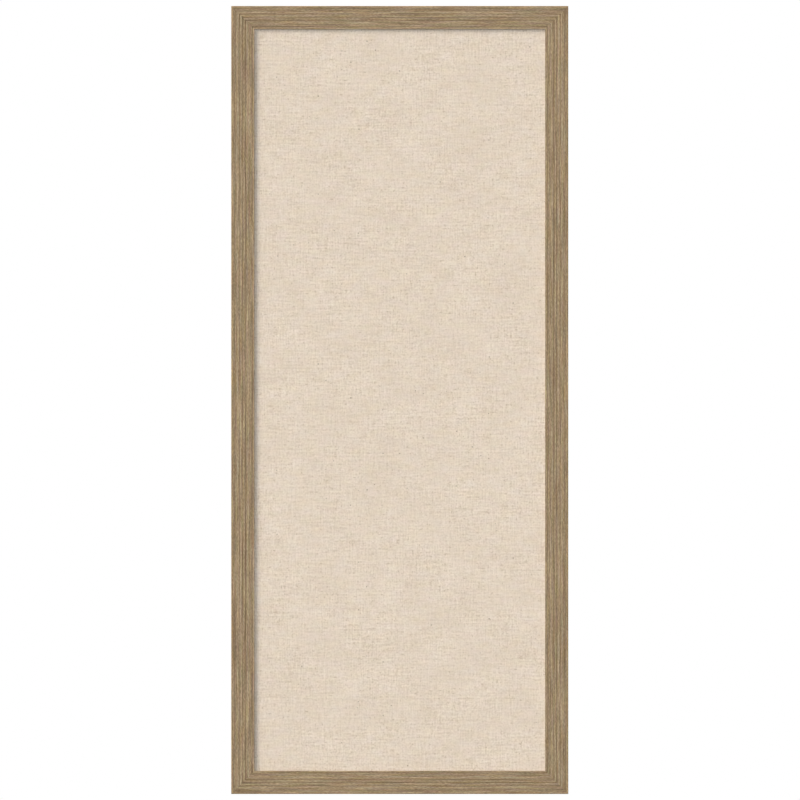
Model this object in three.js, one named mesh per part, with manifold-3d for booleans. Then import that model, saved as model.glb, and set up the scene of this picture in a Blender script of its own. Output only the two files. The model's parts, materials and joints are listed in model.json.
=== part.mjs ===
// A pin board: a linen-covered cork panel in a mitred wooden frame, hung by two D-ring hangers.
// Millimetres, +Z up, and the front faces -Y. The origin lies on the wall, midway between the
// two points where the wall hooks carry the rings.

import * as THREE from "three";
import { mergeVertices } from "three/addons/utils/BufferGeometryUtils.js";
import Module from "manifold-3d";

const wasm = await Module();
wasm.setup();

// The panel, with its linen on, as the frame holds it.
const panelWidth = 406.4;
const panelHeight = 1016;
const linenThickness = 0.6;
const linenTurning = 25; // how far the linen is turned over the cork's back
const linenSlit = 0.5; // the mitred slit between two turnings
const corkThickness = 6;
const backingThickness = 3.2;
const backingInset = 1; // how much smaller than the panel the backing board is, each side
const layerGap = 0.1; // between one layer of the pack and the next

// The moulding. Its depth follows from what it holds.
const mouldingWidth = 31.3;
const lipThickness = 5.5;
const lipCover = 6.65; // how far the lip laps over the panel
const rabbetEase = 0.8; // free space round the panel's edge
const backRecess = 2; // from the retaining points to the moulding's back
const outerRadius = 1.2;
const innerRadius = 0.8;
const backChamfer = 0.5;
const mitreGap = 0.1;

// The grooves along its face: each one's middle and width, as shares of the moulding's width,
// counted from the frame's outer edge.
const grooveDepth = 0.3;
const grooveShares = [
  { middle: 0.148, width: 0.09 },
  { middle: 0.35, width: 0.045 },
  { middle: 0.497, width: 0.045 },
  { middle: 0.617, width: 0.065 },
  { middle: 0.905, width: 0.045 },
];

// What sits in the wood, in a slot or hole of its own shape.
const slotClearance = 0.3;
const cutOverrun = 1; // how far a cut runs past the face that it opens
const vNailLeg = 5;
const vNailThickness = 0.6;
const vNailHeight = 10;
const vNailSink = 0.3;
const vNailPlaceShares = [0.2, 0.55]; // of the way across the moulding's back
const pointLength = 16;
const pointWidth = 5.5;
const pointThickness = 0.5;
const pointDriven = 7; // the part of a retaining point that is in the wood
const pointTip = 2.5;
const pointTailRadius = 1;
const pointMargin = 66; // from a panel's corner to the nearest retaining point
const pointsPerSide = 5;
const pointsPerEnd = 2;

// The screws that hold the hangers.
const screwRadius = 1.75;
const screwLength = 12;
const screwTip = 3;
const screwHeadRadius = 3.2;
const screwHeadRim = 0.7;
const screwHeadHeight = 1.9;
const recessWidth = 0.9;
const recessLength = 3.6;
const recessDepth = 1.1;

// The hangers: a ring of bent wire in a strap that is folded round its bar.
const hangDrop = 150; // from the frame's top edge down to where the hooks carry the rings
const seatGap = 0.1; // under what is screwed or stuck to the frame's back
const wireRadius = 1;
const wireClearance = 0.2;
const wireJoint = 0.2; // between the wire's two ends, in the middle of the bar
const ringCorner = 2;
const ringSideEase = 0.5; // from the strap's side to where the ring's corner starts
const strapWidth = 11;
const strapThickness = 0.7;
const strapLeafGap = 0.1;
const strapNeck = 4.5; // where the two leaves of the folded strap come together
const upperScrewEase = 0.3; // from the neck to the upper screw's head
const foldedRingEase = 1.8; // from the upper screw's head to the bow of the ring folded down
const lowerScrewEase = 4.8; // from that bow to the lower screw's head

// The bumpers keep the frame's lower end off the wall.
const bumperRadius = 6.35;
const bumperThickness = 4;
const bumperEdge = 1.2;
const bumperRise = 30; // from the frame's lower edge to a bumper's middle

// How finely round shapes are cut, and how close two corners lie that are one.
const arcSteps = 6;
const lathSides = 24;
const ringSteps = 60;
const ringSides = 10;
const strapArcSteps = 11;
const weldDistance = 1e-4;

// Sizes that follow. Depths are counted from the frame's back, with the front at -Y.
const packThickness =
  2 * linenThickness + corkThickness + backingThickness + pointThickness + 5 * layerGap;
const mouldingDepth = lipThickness + packThickness + backRecess;
const frameWidth = panelWidth + 2 * (mouldingWidth - lipCover);
const frameHeight = panelHeight + 2 * (mouldingWidth - lipCover);
const backWall = mouldingWidth - lipCover - rabbetEase; // outer edge to the rabbet's wall
const wallGap = seatGap + bumperThickness;

const linenFront = lipThickness - mouldingDepth + layerGap;
const corkFront = linenFront + linenThickness + layerGap;
const linenBack = corkFront + corkThickness + layerGap + linenThickness;
const backingFront = linenBack + layerGap;
const pointFront = backingFront + backingThickness + layerGap;

const knuckleBore = wireRadius + wireClearance;
const knuckleRadius = knuckleBore + strapThickness;
const strapStack = 2 * strapThickness + strapLeafGap;
const ringHalfWidth = strapWidth / 2 + ringSideEase + ringCorner; // to the wire's middle
const upperScrewDrop = strapNeck + upperScrewEase + screwHeadRadius; // from the bar
const ringReach = upperScrewDrop + screwHeadRadius + foldedRingEase; // bar to the bow's inside
const lowerScrewDrop = ringReach + 2 * wireRadius + lowerScrewEase + screwHeadRadius;
const hangerX = frameWidth / 2 - backWall / 2;
const hookLine = frameHeight / 2 - hangDrop;
const barHeight = hookLine - ringReach;

const quarterTurn = Math.PI / 2;

// Materials

function finish(color, roughness, metalness = 0) {
  return new THREE.MeshStandardMaterial({ color, roughness, metalness });
}

const frameWood = finish(0x9a866a, 0.62);
const linenCloth = finish(0xe0d1bf, 0.95);
const corkGrain = finish(0xb98a5c, 0.9);
const hardboard = finish(0x7d5a3c, 0.8);
const pointSteel = finish(0xa9acae, 0.4, 0.9);
const hangerPlate = finish(0xc4bfb4, 0.3, 0.95);
const screwPlate = finish(0xb9a878, 0.35, 0.9);
const bumperRubber = finish(0x2e2d2c, 0.75);

// Solids and meshes

function toSolid(geometry) {
  const bare = new THREE.BufferGeometry().setAttribute("position", geometry.getAttribute("position"));
  if (geometry.index) bare.setIndex(geometry.index);
  const merged = mergeVertices(bare, weldDistance);
  return new wasm.Manifold(
    new wasm.Mesh({
      numProp: 3,
      vertProperties: new Float32Array(merged.attributes.position.array),
      triVerts: new Uint32Array(merged.index.array),
    }),
  );
}

function toGeometry(solid) {
  const mesh = solid.getMesh();
  const indexed = new THREE.BufferGeometry()
    .setAttribute("position", new THREE.BufferAttribute(mesh.vertProperties, 3))
    .setIndex(new THREE.BufferAttribute(mesh.triVerts, 1));
  const faceted = indexed.toNonIndexed();
  faceted.computeVertexNormals();
  return faceted;
}

function cut(geometry, cutters) {
  const solid = cutters.reduce((rest, cutter) => rest.subtract(toSolid(cutter)), toSolid(geometry));
  return toGeometry(solid);
}

// Extrudes a shape that is drawn with x to the right and y up, from y = back towards -Y.
function plate(shape, depth, back = 0) {
  const geometry = new THREE.ExtrudeGeometry(shape, {
    depth,
    bevelEnabled: false,
    curveSegments: arcSteps,
  });
  return geometry.rotateX(quarterTurn).translate(0, back, 0);
}

// A flat sheet with square corners, centred, with its front face at the given depth.
function sheet(width, height, front, thickness) {
  return new THREE.BoxGeometry(width, thickness, height).translate(0, front + thickness / 2, 0);
}

function place(mesh, x, y, z, turn = 0) {
  mesh.position.set(x, y, z);
  mesh.rotation.y = turn;
  mesh.updateMatrix();
  return mesh;
}

function piece(name, geometry, material) {
  const mesh = new THREE.Mesh(geometry, material);
  mesh.name = name;
  return mesh;
}

// The moulding's section. x runs from the frame's outer edge inwards, y from its back forwards.
function mouldingSection() {
  const shelf = mouldingDepth - lipThickness;
  const face = mouldingDepth;
  const section = new THREE.Shape();
  section.moveTo(backChamfer, 0);
  section.lineTo(backWall - backChamfer, 0);
  section.lineTo(backWall, backChamfer);
  section.lineTo(backWall, shelf);
  section.lineTo(mouldingWidth, shelf);
  section.lineTo(mouldingWidth, face - innerRadius);
  section.absarc(mouldingWidth - innerRadius, face - innerRadius, innerRadius, 0, quarterTurn, false);
  for (const groove of grooveShares.toReversed()) {
    const middle = groove.middle * mouldingWidth;
    const half = (groove.width * mouldingWidth) / 2;
    section.lineTo(middle + half, face);
    section.quadraticCurveTo(middle, face - 2 * grooveDepth, middle - half, face);
  }
  section.lineTo(outerRadius, face);
  section.absarc(outerRadius, face - outerRadius, outerRadius, quarterTurn, 2 * quarterTurn, false);
  section.lineTo(0, backChamfer);
  section.closePath();
  return section;
}

// One side of the frame. It lies along X with its outer edge at z = 0 and its back at y = 0.
// Each end is mitred: what lies further in from the outer edge is shorter by as much.
function mouldingGeometry(length) {
  const geometry = new THREE.ExtrudeGeometry(mouldingSection(), {
    depth: 1,
    bevelEnabled: false,
    curveSegments: arcSteps,
  });
  const corners = geometry.getAttribute("position");
  for (let i = 0; i < corners.count; i++) {
    const halfLength = length / 2 - corners.getX(i) - mitreGap * Math.SQRT1_2;
    corners.setZ(i, corners.getZ(i) > 0 ? halfLength : -halfLength);
  }
  const alongX = new THREE.Matrix4().makeBasis(
    new THREE.Vector3(0, 0, 1),
    new THREE.Vector3(0, -1, 0),
    new THREE.Vector3(1, 0, 0),
  );
  return geometry.applyMatrix4(alongX);
}

// The four sides: which way each one is turned, and how far its outer edge is from the middle.
const frameSides = [
  { name: "bottom_rail", turn: 0, length: frameWidth, x: 0, z: -frameHeight / 2 },
  { name: "right_stile", turn: -quarterTurn, length: frameHeight, x: frameWidth / 2, z: 0 },
  { name: "top_rail", turn: 2 * quarterTurn, length: frameWidth, x: 0, z: frameHeight / 2 },
  { name: "left_stile", turn: quarterTurn, length: frameHeight, x: -frameWidth / 2, z: 0 },
];

// The four corners: which way each one is turned, and the signs of its x and z.
const frameCorners = [
  { name: "bottom_right", turn: 0, x: 1, z: -1 },
  { name: "top_right", turn: -quarterTurn, x: 1, z: 1 },
  { name: "top_left", turn: 2 * quarterTurn, x: -1, z: 1 },
  { name: "bottom_left", turn: quarterTurn, x: -1, z: -1 },
];

// A V-nail straddles a mitre, its edge towards the frame's corner and one leg in each side.
// A slot for it is the same shape grown all round, open at the frame's back.
function vNailGeometry(grow = 0, overrun = 0) {
  const inner = vNailThickness + grow;
  const end = vNailLeg + grow;
  const section = new THREE.Shape([
    new THREE.Vector2(grow, -grow),
    new THREE.Vector2(grow, end),
    new THREE.Vector2(-inner, end),
    new THREE.Vector2(-inner, inner),
    new THREE.Vector2(-end, inner),
    new THREE.Vector2(-end, -grow),
  ]);
  return plate(section, vNailHeight + grow + overrun, overrun - vNailSink);
}

function vNailPlaces() {
  return frameCorners.flatMap((corner) =>
    vNailPlaceShares.map((share, i) => ({
      name: `v_nail_${corner.name}_${i + 1}`,
      at: [
        corner.x * (frameWidth / 2 - share * backWall),
        0,
        corner.z * (frameHeight / 2 - share * backWall),
        corner.turn,
      ],
    })),
  );
}

// A retaining point: a flat tab driven into the rabbet's wall, its tail over the backing board.
function pointGeometry(grow = 0) {
  const half = pointWidth / 2 + grow;
  const tail = pointLength - pointDriven;
  const roundX = half - pointTailRadius;
  const roundY = tail - pointTailRadius;
  const outline = new THREE.Shape();
  outline.moveTo(0, -pointDriven - grow);
  outline.lineTo(half, pointTip - pointDriven);
  outline.lineTo(half, roundY);
  outline.absarc(roundX, roundY, pointTailRadius, 0, quarterTurn, false);
  outline.lineTo(-roundX, tail);
  outline.absarc(-roundX, roundY, pointTailRadius, quarterTurn, 2 * quarterTurn, false);
  outline.lineTo(-half, pointTip - pointDriven);
  outline.closePath();
  return plate(outline, pointThickness + 2 * grow, pointThickness + grow);
}

function pointPlaces() {
  return frameSides.flatMap((side) => {
    const upright = side.x !== 0;
    const count = upright ? pointsPerSide : pointsPerEnd;
    const run = (upright ? panelHeight : panelWidth) - 2 * pointMargin;
    return Array.from({ length: count }, (_, i) => {
      const along = run * (i / (count - 1) - 1 / 2);
      return {
        name: `retaining_point_${side.name}_${i + 1}`,
        at: [
          upright ? side.x - Math.sign(side.x) * backWall : along,
          pointFront,
          upright ? along : side.z - Math.sign(side.z) * backWall,
          side.turn,
        ],
      };
    });
  });
}

// A pan-head screw with its axis along Y. The underside of its head is at y = 0.
function screwGeometry() {
  const domeHeight = screwHeadHeight - screwHeadRim;
  const dome = new THREE.EllipseCurve(0, screwHeadRim, screwHeadRadius, domeHeight, 0, quarterTurn, false);
  const profile = [
    new THREE.Vector2(0, -screwLength),
    new THREE.Vector2(screwRadius, screwTip - screwLength),
    new THREE.Vector2(screwRadius, 0),
    new THREE.Vector2(screwHeadRadius, 0),
    ...dome.getPoints(arcSteps).slice(0, -1),
    new THREE.Vector2(0, screwHeadHeight),
  ];
  const height = recessDepth + cutOverrun;
  const middle = screwHeadHeight - recessDepth + height / 2;
  const recess = [
    new THREE.BoxGeometry(recessLength, height, recessWidth).translate(0, middle, 0),
    new THREE.BoxGeometry(recessWidth, height, recessLength).translate(0, middle, 0),
  ];
  return cut(new THREE.LatheGeometry(profile, lathSides), recess);
}

// A round hole along Y, this deep under y = 0 and open above it.
function holeCutter(radius, depth) {
  return new THREE.CylinderGeometry(radius, radius, depth + cutOverrun, lathSides)
    .translate(0, (cutOverrun - depth) / 2, 0);
}

// The strap is one strip folded round the ring's bar. The path follows the strip's middle, with
// x away from the frame and y up: up the outer leaf, over the bar and down the inner leaf.
function strapPath(lowerEnd) {
  const innerLeaf = strapThickness / 2;
  const outerLeaf = innerLeaf + strapThickness + strapLeafGap;
  const loop = knuckleBore + strapThickness / 2;
  const farSide = knuckleRadius + loop;
  const at = (x, y) => new THREE.Vector2(x, y);
  const swell = new THREE.CubicBezierCurve(
    at(outerLeaf, -strapNeck),
    at(outerLeaf, -strapNeck / 2),
    at(farSide, -strapNeck / 2),
    at(farSide, 0),
  );
  return [
    new THREE.LineCurve(at(outerLeaf, -lowerEnd), at(outerLeaf, -strapNeck)),
    swell,
    new THREE.EllipseCurve(knuckleRadius, 0, loop, loop, 0, 2 * quarterTurn, false),
    new THREE.LineCurve(at(innerLeaf, 0), at(innerLeaf, -lowerEnd)),
  ];
}

// The strap's section: its path, set off by half the strip's thickness to each side.
function strapSection(lowerEnd) {
  const stations = strapPath(lowerEnd).flatMap((curve, i) => {
    const steps = curve instanceof THREE.LineCurve ? 1 : strapArcSteps;
    const all = Array.from({ length: steps + 1 }, (_, j) => ({
      point: curve.getPoint(j / steps),
      along: curve.getTangent(j / steps),
    }));
    return i === 0 ? all : all.slice(1);
  });
  const setOff = (by) =>
    stations.map(({ point, along }) =>
      new THREE.Vector2(point.x - by * along.y, point.y + by * along.x),
    );
  const half = strapThickness / 2;
  return new THREE.Shape([...setOff(-half), ...setOff(half).reverse()]);
}

// The strap's plan: straight sides, and a round end about the lower screw.
function strapPlan() {
  const half = strapWidth / 2;
  const top = knuckleRadius + cutOverrun;
  const plan = new THREE.Shape();
  plan.moveTo(half, top);
  plan.lineTo(-half, top);
  plan.lineTo(-half, -lowerScrewDrop);
  plan.absarc(0, -lowerScrewDrop, half, 2 * quarterTurn, 4 * quarterTurn, false);
  plan.closePath();
  return plan;
}

// A strap with the bar's axis at z = 0. It lies on y = 0, with the knuckle swelling to +Y.
function strapGeometry() {
  const lowerEnd = lowerScrewDrop + strapWidth / 2 + cutOverrun;
  const acrossX = new THREE.Matrix4().makeBasis(
    new THREE.Vector3(0, 1, 0),
    new THREE.Vector3(0, 0, 1),
    new THREE.Vector3(1, 0, 0),
  );
  const section = strapSection(lowerEnd);
  const strip = new THREE.ExtrudeGeometry(section, { depth: strapWidth, bevelEnabled: false })
    .applyMatrix4(acrossX)
    .translate(-strapWidth / 2, 0, 0);
  const top = 2 * knuckleRadius + cutOverrun;
  const trimmed = toSolid(strip).intersect(toSolid(plate(strapPlan(), top + cutOverrun, top)));
  const holes = [upperScrewDrop, lowerScrewDrop].map((drop) =>
    holeCutter(screwRadius + slotClearance, strapStack + cutOverrun).translate(0, strapStack, -drop),
  );
  return cut(toGeometry(trimmed), holes);
}

// The ring's wire follows a flat D, from one end in the middle of the bar round to the other:
// the bar, a tight corner, a leg, the bow, a leg, a tight corner and the bar again.
class RingCurve extends THREE.Curve {
  constructor() {
    super();
    const cornerX = ringHalfWidth - ringCorner;
    const legTop = ringReach + wireRadius - ringHalfWidth;
    this.outline = new THREE.Path();
    this.outline.moveTo(wireJoint / 2, 0);
    this.outline.lineTo(cornerX, 0);
    this.outline.absarc(cornerX, ringCorner, ringCorner, -quarterTurn, 0, false);
    this.outline.lineTo(ringHalfWidth, legTop);
    this.outline.absarc(0, legTop, ringHalfWidth, 0, 2 * quarterTurn, false);
    this.outline.lineTo(-ringHalfWidth, ringCorner);
    this.outline.absarc(-cornerX, ringCorner, ringCorner, 2 * quarterTurn, 3 * quarterTurn, false);
    this.outline.lineTo(-wireJoint / 2, 0);
  }

  getPoint(t, target = new THREE.Vector3()) {
    const { x, y } = this.outline.getPoint(t);
    return target.set(x, 0, y);
  }
}

function ringGeometry() {
  const rim = new THREE.EllipseCurve(0, 0, wireRadius, wireRadius);
  return new THREE.ExtrudeGeometry(new THREE.Shape(rim.getPoints(ringSides).slice(1)), {
    extrudePath: new RingCurve(),
    steps: ringSteps,
    bevelEnabled: false,
  });
}

// A bumper: a round rubber pad with a soft edge, its stuck face at y = 0.
function bumperGeometry() {
  const flatRadius = bumperRadius - bumperEdge;
  const flatRise = bumperThickness - bumperEdge;
  const edge = new THREE.EllipseCurve(flatRadius, flatRise, bumperEdge, bumperEdge, 0, quarterTurn, false);
  const profile = [
    new THREE.Vector2(0, 0),
    new THREE.Vector2(bumperRadius, 0),
    ...edge.getPoints(arcSteps),
    new THREE.Vector2(0, bumperThickness),
  ];
  return new THREE.LatheGeometry(profile, lathSides);
}

// The linen is one cloth: it covers the front, goes round the edges and is turned over the back,
// where a slit runs along each corner's mitre.
function linenGeometry() {
  const depth = linenBack - linenFront;
  const innerWidth = panelWidth - 2 * linenThickness;
  const innerHeight = panelHeight - 2 * linenThickness;
  const wrapped = sheet(panelWidth, panelHeight, linenFront, depth);
  const hollow = sheet(innerWidth, innerHeight, linenFront + linenThickness, depth - 2 * linenThickness);

  const turnedFront = linenBack - linenThickness - layerGap;
  const turnedDepth = linenThickness + 2 * layerGap;
  const window = sheet(
    innerWidth - 2 * linenTurning,
    innerHeight - 2 * linenTurning,
    turnedFront,
    turnedDepth,
  );
  const reach = linenTurning + linenSlit;
  const slits = frameCorners.map((corner) =>
    new THREE.BoxGeometry(reach * Math.SQRT2, turnedDepth, linenSlit)
      .rotateY((-corner.x * corner.z * quarterTurn) / 2)
      .translate(
        (corner.x * (innerWidth - reach)) / 2,
        turnedFront + turnedDepth / 2,
        (corner.z * (innerHeight - reach)) / 2,
      ),
  );
  return cut(wrapped, [hollow, window, ...slits]);
}

// The board's group has its origin in the middle of the frame's back.
const board = new THREE.Group();
board.position.set(0, -wallGap, -hookLine);

const corkInset = linenThickness + layerGap;
const corkWidth = panelWidth - 2 * corkInset;
const corkHeight = panelHeight - 2 * corkInset;
const backingWidth = panelWidth - 2 * backingInset;
const backingHeight = panelHeight - 2 * backingInset;
board.add(
  piece("linen_cover", linenGeometry(), linenCloth),
  piece("cork_sheet", sheet(corkWidth, corkHeight, corkFront, corkThickness), corkGrain),
  piece("backing_board", sheet(backingWidth, backingHeight, backingFront, backingThickness), hardboard),
);

// What cuts the wood, where it lies in the board, until the four sides are made.
const cutters = [];

function cutWood(geometry, at) {
  cutters.push(geometry.applyMatrix4(place(new THREE.Object3D(), ...at).matrix));
}

for (const { name, at } of vNailPlaces()) {
  board.add(place(piece(name, vNailGeometry(), pointSteel), ...at));
  cutWood(vNailGeometry(slotClearance, cutOverrun), at);
}
for (const { name, at } of pointPlaces()) {
  board.add(place(piece(name, pointGeometry(), pointSteel), ...at));
  cutWood(pointGeometry(slotClearance), at);
}

const strapSeat = seatGap;
const screwSeat = strapSeat + strapStack + seatGap;
for (const [side, sign] of [["left", -1], ["right", 1]]) {
  const x = sign * hangerX;
  const ringY = strapSeat + knuckleRadius;
  board.add(
    place(piece(`hanger_strap_${side}`, strapGeometry(), hangerPlate), x, strapSeat, barHeight),
    place(piece(`hanger_ring_${side}`, ringGeometry(), hangerPlate), x, ringY, barHeight),
  );
  for (const [level, drop] of [["upper", upperScrewDrop], ["lower", lowerScrewDrop]]) {
    const at = [x, screwSeat, barHeight - drop];
    board.add(place(piece(`hanger_screw_${side}_${level}`, screwGeometry(), screwPlate), ...at));
    cutWood(holeCutter(screwRadius + slotClearance, screwLength + slotClearance), at);
  }
  const bumperZ = bumperRise - frameHeight / 2;
  board.add(place(piece(`bumper_${side}`, bumperGeometry(), bumperRubber), x, seatGap, bumperZ));
}

for (const { name, turn, length, x, z } of frameSides) {
  const mesh = place(piece(name, mouldingGeometry(length), frameWood), x, 0, z, turn);
  const toSide = mesh.matrix.clone().invert();
  mesh.geometry = cut(mesh.geometry, cutters.map((cutter) => cutter.clone().applyMatrix4(toSide)));
  board.add(mesh);
}

const pinBoard = new THREE.Group();
pinBoard.add(board);

export default pinBoard;
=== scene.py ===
# %% [markdown]
# # A linen pin board in a grooved wooden frame
#
# The object is a tall pin board. Linen is stretched over a sheet of cork, hardboard closes the
# back, and a mitred frame with fine struck grooves under a greige stain holds the three together.
# Two folded straps with D-rings hang it on the wall, and two rubber bumpers keep its foot off the
# wall. The construction comes packed, at its real size. This lesson dresses it: each piece is
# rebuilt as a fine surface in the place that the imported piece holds, and gets a finish made of
# nodes.

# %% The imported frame
import json
import math

import bpy
import numpy as np
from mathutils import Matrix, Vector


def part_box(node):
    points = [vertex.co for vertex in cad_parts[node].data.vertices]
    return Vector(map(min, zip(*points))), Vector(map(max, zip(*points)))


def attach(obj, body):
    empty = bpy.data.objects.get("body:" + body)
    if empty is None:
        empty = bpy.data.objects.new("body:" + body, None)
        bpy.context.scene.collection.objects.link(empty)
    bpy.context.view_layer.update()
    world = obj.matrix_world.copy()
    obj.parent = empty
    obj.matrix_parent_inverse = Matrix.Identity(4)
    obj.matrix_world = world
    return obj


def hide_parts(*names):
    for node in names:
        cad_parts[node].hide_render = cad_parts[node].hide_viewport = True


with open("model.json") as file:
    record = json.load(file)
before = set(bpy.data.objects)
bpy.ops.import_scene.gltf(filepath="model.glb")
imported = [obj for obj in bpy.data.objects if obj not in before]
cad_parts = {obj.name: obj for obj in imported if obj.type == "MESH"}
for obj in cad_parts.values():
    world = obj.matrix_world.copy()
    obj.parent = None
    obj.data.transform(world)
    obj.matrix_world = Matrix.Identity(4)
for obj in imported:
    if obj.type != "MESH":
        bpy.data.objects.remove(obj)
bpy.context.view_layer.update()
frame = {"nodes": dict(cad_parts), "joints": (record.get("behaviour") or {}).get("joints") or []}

MM = 0.001

# %% [markdown]
# ## Where things are
#
# Nothing here is measured twice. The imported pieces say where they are, so each new surface takes
# its place from the box of the piece that it stands for. The board lies in the XZ plane with its
# linen towards -Y and the wall at Y = 0.

# %% The outside of the wooden frame
SIDES = ("bottom_rail", "right_stile", "top_rail", "left_stile")


def box_of(node):
    """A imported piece's box: its low corner, its high corner and its middle."""
    low, high = np.array(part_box(node))
    return low, high, (low + high) / 2


side_boxes = {name: np.array(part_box(name)) for name in SIDES}
frame_low = np.min([box[0] for box in side_boxes.values()], axis=0)
frame_high = np.max([box[1] for box in side_boxes.values()], axis=0)
frame_middle = (frame_low + frame_high) / 2
frame_half = (frame_high - frame_low) / 2
frame_front, frame_back = frame_low[1], frame_high[1]
moulding_width = np.ptp(side_boxes["left_stile"][:, 0])
moulding_depth = frame_back - frame_front
print("frame, mm:", np.round(2 * frame_half / MM, 2), "moulding:", round(moulding_width / MM, 2))

# %% [markdown]
# ## The camera and the light
#
# The board is seen square-on, with no converging lines, so the camera stands twenty metres away
# with a very long lens. The light is a large soft one from the upper left, which makes the lip's
# shadow fall on the linen along the left and the top only, and a frontal one that fills it. Both
# are sun lamps with a wide angle: they are as soft as a large box, and don't fall off along a metre
# of board. A third one behind the board shows its back in the views from there. A white sheet of
# paper facing the camera would come out just white.

# %% Camera
LENS = 666
SENSOR = 36
CAMERA_DISTANCE = 20.0072
CAMERA_SHIFT_RIGHT = 0.29 * MM

camera = bpy.data.objects.new("camera", bpy.data.cameras.new("camera"))
camera.data.lens = LENS
camera.data.sensor_width = SENSOR
camera.data.clip_end = 100
camera.location = (
    frame_middle[0] + CAMERA_SHIFT_RIGHT,
    frame_front - CAMERA_DISTANCE,
    frame_middle[2],
)
camera.rotation_euler = (math.radians(90), 0, 0)
bpy.context.scene.collection.objects.link(camera)
bpy.context.scene.camera = camera
bpy.context.scene.view_settings.view_transform = "Standard"
print("field at the frame's face, m:", round(SENSOR / LENS * CAMERA_DISTANCE, 4))


# %% Lamps
LAMP_DISTANCE = 3


def soft_sun(name, towards, share, width, colour=(1, 1, 1)):
    """A lamp that adds a share of full white to a surface that faces -Y, or +Y for a lamp behind.

    A lamp of strength s gives a white surface s / pi times the cosine of the angle between the
    surface's normal and the light. towards points from the board to the lamp.
    """
    towards = np.array(towards) / np.linalg.norm(towards)
    lamp = bpy.data.objects.new(name, bpy.data.lights.new(name, "SUN"))
    lamp.data.energy = share * math.pi / abs(towards[1])
    lamp.data.angle = math.radians(width)
    lamp.data.color = colour
    lamp.rotation_euler = (
        math.acos(towards[2]),
        0,
        math.atan2(towards[1], towards[0]) + math.pi / 2,
    )
    lamp.location = towards * LAMP_DISTANCE
    bpy.context.scene.collection.objects.link(lamp)
    print(name, "strength", round(lamp.data.energy, 2))


soft_sun("key_light", (-0.95, -1, 0.68), share=0.52, width=40, colour=(1.0, 0.945, 0.895))
soft_sun("front_fill", (0, -1, 0.06), share=0.39, width=14, colour=(0.85, 0.93, 1.0))
soft_sun("rear_light", (0.8, 1, 0.35), share=0.55, width=40)


# %% [markdown]
# ## Nodes by a short name
#
# A material is a tree of nodes. One helper adds a node, sets its options and fills its sockets,
# where a value may be a number, a colour or another node's output. The effects that several
# finishes share are node groups: they are built once and placed in each finish with that finish's
# own sizes. The weights of a finish, how much of each noise goes into its tone, were found by
# measure.

# %% Helpers for nodes
def plug(tree, socket, value):
    """Fills a socket: links another node's output to it, or sets a number, a place or a colour."""
    if isinstance(value, bpy.types.NodeSocket):
        tree.links.new(value, socket)
    else:
        socket.default_value = (*value, 1) if socket.type == "RGBA" else value


def add(tree, kind, inputs=None, **options):
    """Adds one node; inputs maps a socket's name or number to what fills it."""
    node = tree.nodes.new("ShaderNode" + kind)
    for name, value in options.items():
        setattr(node, name, value)
    for socket, value in (inputs or {}).items():
        plug(tree, node.inputs[socket], value)
    return node


def math_node(tree, operation, *values):
    """The output of a Math node; values are numbers or outputs."""
    return add(tree, "Math", dict(enumerate(values)), operation=operation).outputs[0]


def weighted(tree, *terms):
    """The sum of value times weight for each (value, weight), with any plain number added."""
    total = 0.0
    for term in terms:
        if isinstance(term, tuple):
            total = math_node(tree, "MULTIPLY_ADD", term[0], term[1], total)
        else:
            total = math_node(tree, "ADD", total, term)
    return total


def rise(tree, value, start, end, low=0.0, high=1.0, **options):
    """Brings the value from between start and end to between low and high, and stops it there."""
    inputs = {"Value": value, "From Min": start, "From Max": end, "To Min": low, "To Max": high}
    return add(tree, "MapRange", inputs, **options).outputs[0]


def ramp(tree, value, *stops):
    """A colour ramp's output; each stop is (place, grey value or colour)."""
    node = add(tree, "ValToRGB", {0: value})
    elements = node.color_ramp.elements
    while len(elements) < len(stops):
        elements.new(0.5)
    for element, (place, colour) in zip(elements, stops):
        element.position = place
        element.color = (*(colour if isinstance(colour, tuple) else (colour,) * 3), 1)
    return node.outputs[0]


def mix_colours(tree, how, share, first, second):
    """Two colours mixed, multiplied and so on; each is a colour or an output."""
    inputs = {0: share, 6: first, 7: second}
    return add(tree, "Mix", inputs, data_type="RGBA", blend_type=how).outputs[2]


# %% Helpers for places
def turned(tree, place, degrees, axis):
    """A place turned about an axis, to let a pattern run another way."""
    inputs = {"Vector": place, "Angle": math.radians(degrees)}
    return add(tree, "VectorRotate", inputs, rotation_type=axis + "_AXIS").outputs[0]


def object_place(tree):
    """The place on a piece, in metres."""
    return add(tree, "TexCoord").outputs["Object"]


def kept(tree, name, output="Fac"):
    """What the piece's mesh keeps under a name: a number, or with "Vector" a place."""
    return add(tree, "Attribute", attribute_name=name).outputs[output]


# %% Helpers for node groups
def new_group(name, inputs, outputs):
    """A node group; its sockets are given as name: kind. Returns its tree and its two ends."""
    group = bpy.data.node_groups.new(name, "ShaderNodeTree")
    for way, sockets in (("INPUT", inputs), ("OUTPUT", outputs)):
        for label, kind in sockets.items():
            group.interface.new_socket(label, in_out=way, socket_type="NodeSocket" + kind)
    inside = group.nodes.new("NodeGroupInput")
    outside = group.nodes.new("NodeGroupOutput")
    print("node group:", name)
    return group, inside.outputs, outside.inputs


def use(tree, group, **inputs):
    """Places a node group in a tree; an underscore stands for a space in a socket's name."""
    inputs = {label.replace("_", " "): value for label, value in inputs.items()}
    return add(tree, "Group", inputs, node_tree=group).outputs


# %% Helpers for finishes
finishes = {}


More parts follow.
